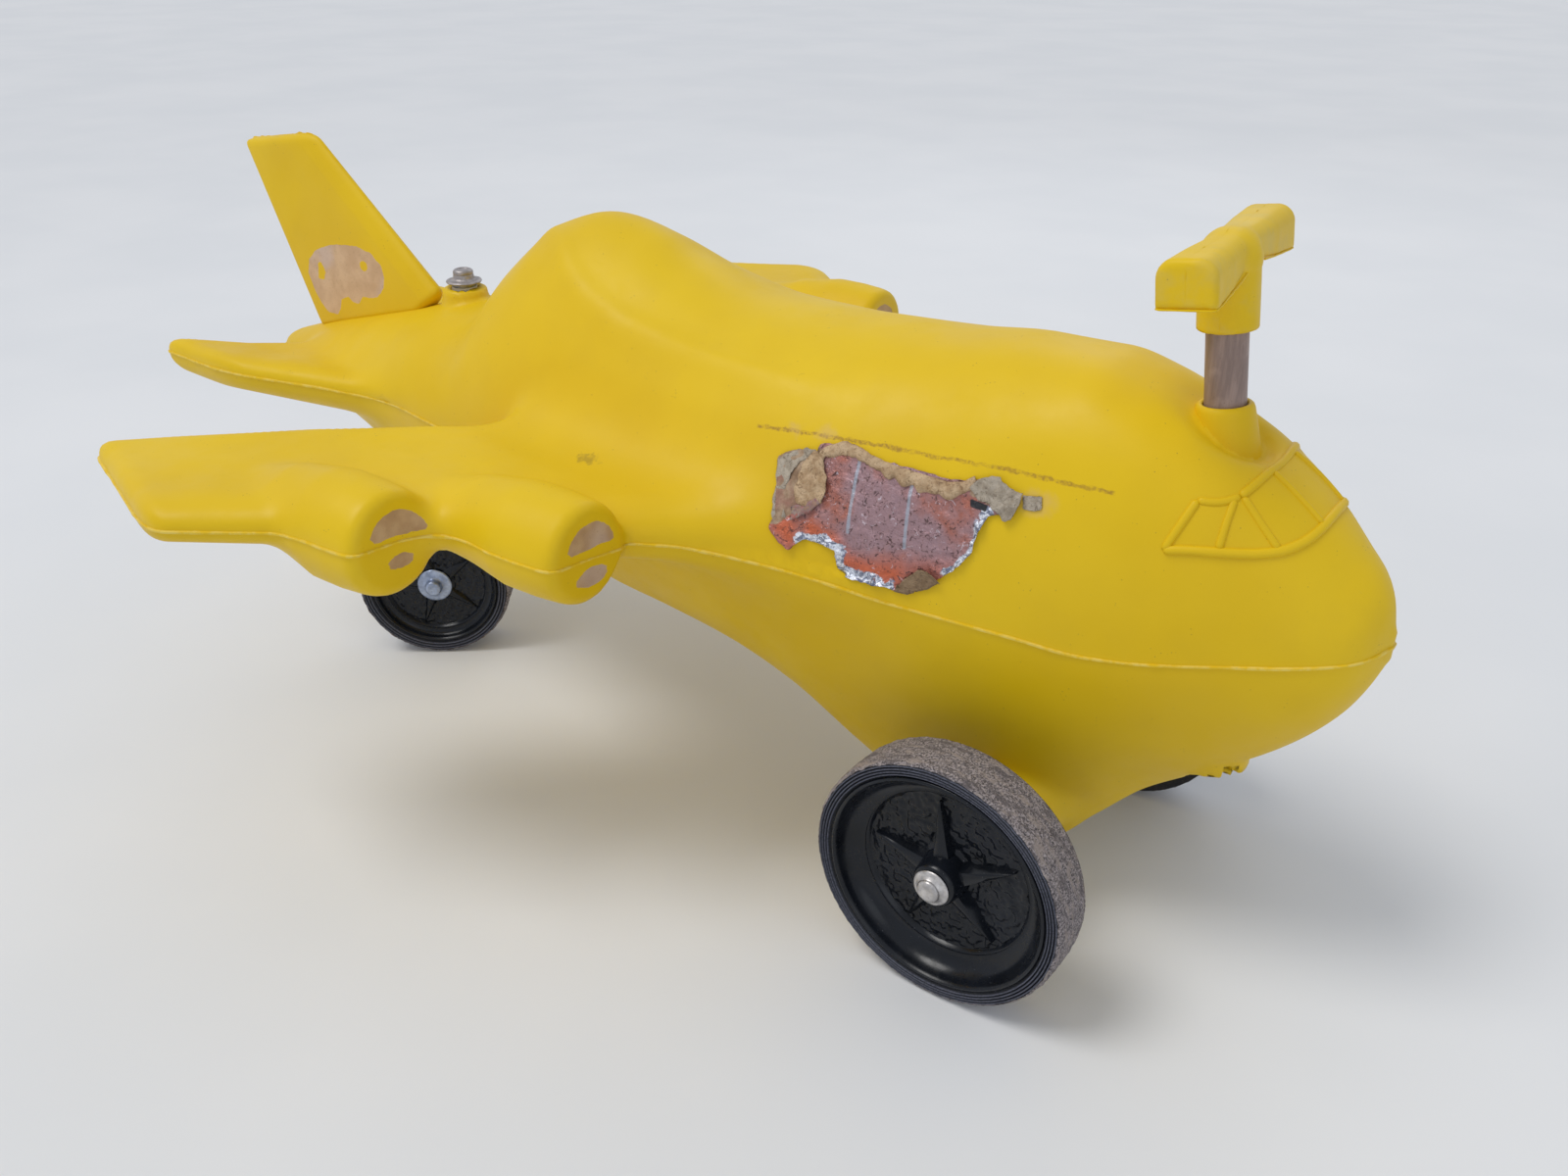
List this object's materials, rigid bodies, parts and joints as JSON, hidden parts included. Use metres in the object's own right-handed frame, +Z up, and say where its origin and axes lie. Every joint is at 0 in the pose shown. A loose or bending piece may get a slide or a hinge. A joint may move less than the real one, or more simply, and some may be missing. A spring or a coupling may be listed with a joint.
{
  "type": "ride-on toy airplane",
  "caption": "Child's ride-on jumbo jet: hollow moulded airframe with seat, wings and engine pods, plug-in tail fin, T handle, big front wheels and a swivelling rear caster.",
  "frame": {"origin": "on the ground, under the centre of the toy's overall box", "axes": "+X towards the nose, +Y to port, +Z up"},
  "size_m": [0.8866, 0.634, 0.4146],
  "materials": {
    "yellow_plastic": "satin blow-moulded polyethylene, scuffed, with worn pale patches",
    "tube_grey": "dull grey-brown, streaked",
    "zinc_cap": "dull zinc-coloured pressing",
    "steel": "plain rod and plate, dulled",
    "tyre": "ribbed sidewall, worn grey-brown tread",
    "black_plastic": "glossy black, pebbled disc",
    "nylon": "natural nylon",
    "foil_label": "torn, crumpled copper-red foil with silver edges and tan paper flaps"
  },
  "bodies": {
    "airframe": {"body_shell": "yellow_plastic", "tail_fin": "yellow_plastic", "front_axle": "steel", "front_cap_left": "zinc_cap", "front_cap_right": "zinc_cap", "front_spacer_left": "nylon", "front_spacer_right": "nylon", "caster_bush_upper": "nylon", "caster_bush_lower": "nylon", "side_label": "foil_label"},
    "handle": {"handle_grip": "yellow_plastic", "handle_tube": "tube_grey", "handle_cross_pin": "steel", "tube_foot_washer": "steel", "tube_push_nut": "zinc_cap"},
    "front_wheel_left": {"front_tyre_left": "tyre", "front_rim_left": "black_plastic", "front_inner_left": "black_plastic"},
    "front_wheel_right": {"front_tyre_right": "tyre", "front_rim_right": "black_plastic", "front_inner_right": "black_plastic"},
    "caster": {"caster_yoke": "steel", "caster_stem": "steel", "caster_thrust_washer": "steel", "caster_top_washer": "steel", "caster_push_nut": "zinc_cap", "rear_axle": "steel", "rear_cap_left": "zinc_cap", "rear_cap_right": "zinc_cap"},
    "rear_wheel_left": {"rear_tyre_left": "tyre", "rear_rim_left": "black_plastic", "rear_inner_left": "black_plastic"},
    "rear_wheel_right": {"rear_tyre_right": "tyre", "rear_rim_right": "black_plastic", "rear_inner_right": "black_plastic"}
  },
  "joints": [
    {"name": "handle_turn", "type": "hinge", "parent": "airframe", "child": "handle", "pos_m": [0.3449, 0, 0.327], "axis": [-0.1264, 0, 0.992], "continuous": true},
    {"name": "front_spin_left", "type": "hinge", "parent": "airframe", "child": "front_wheel_left", "pos_m": [0.273, 0.12, 0.0762], "axis": [0, 1, 0], "continuous": true},
    {"name": "front_spin_right", "type": "hinge", "parent": "airframe", "child": "front_wheel_right", "pos_m": [0.273, -0.12, 0.0762], "axis": [0, 1, 0], "continuous": true},
    {"name": "caster_swivel", "type": "hinge", "parent": "airframe", "child": "caster", "pos_m": [-0.213, 0, 0.2], "axis": [0, 0, 1], "continuous": true},
    {"name": "rear_spin_left", "type": "hinge", "parent": "caster", "child": "rear_wheel_left", "pos_m": [-0.25004, -0.02894, 0.0594], "axis": [-0.6157, 0.788, 0], "continuous": true},
    {"name": "rear_spin_right", "type": "hinge", "parent": "caster", "child": "rear_wheel_right", "pos_m": [-0.25004, -0.02894, 0.0594], "axis": [-0.6157, 0.788, 0], "continuous": true}
  ]
}
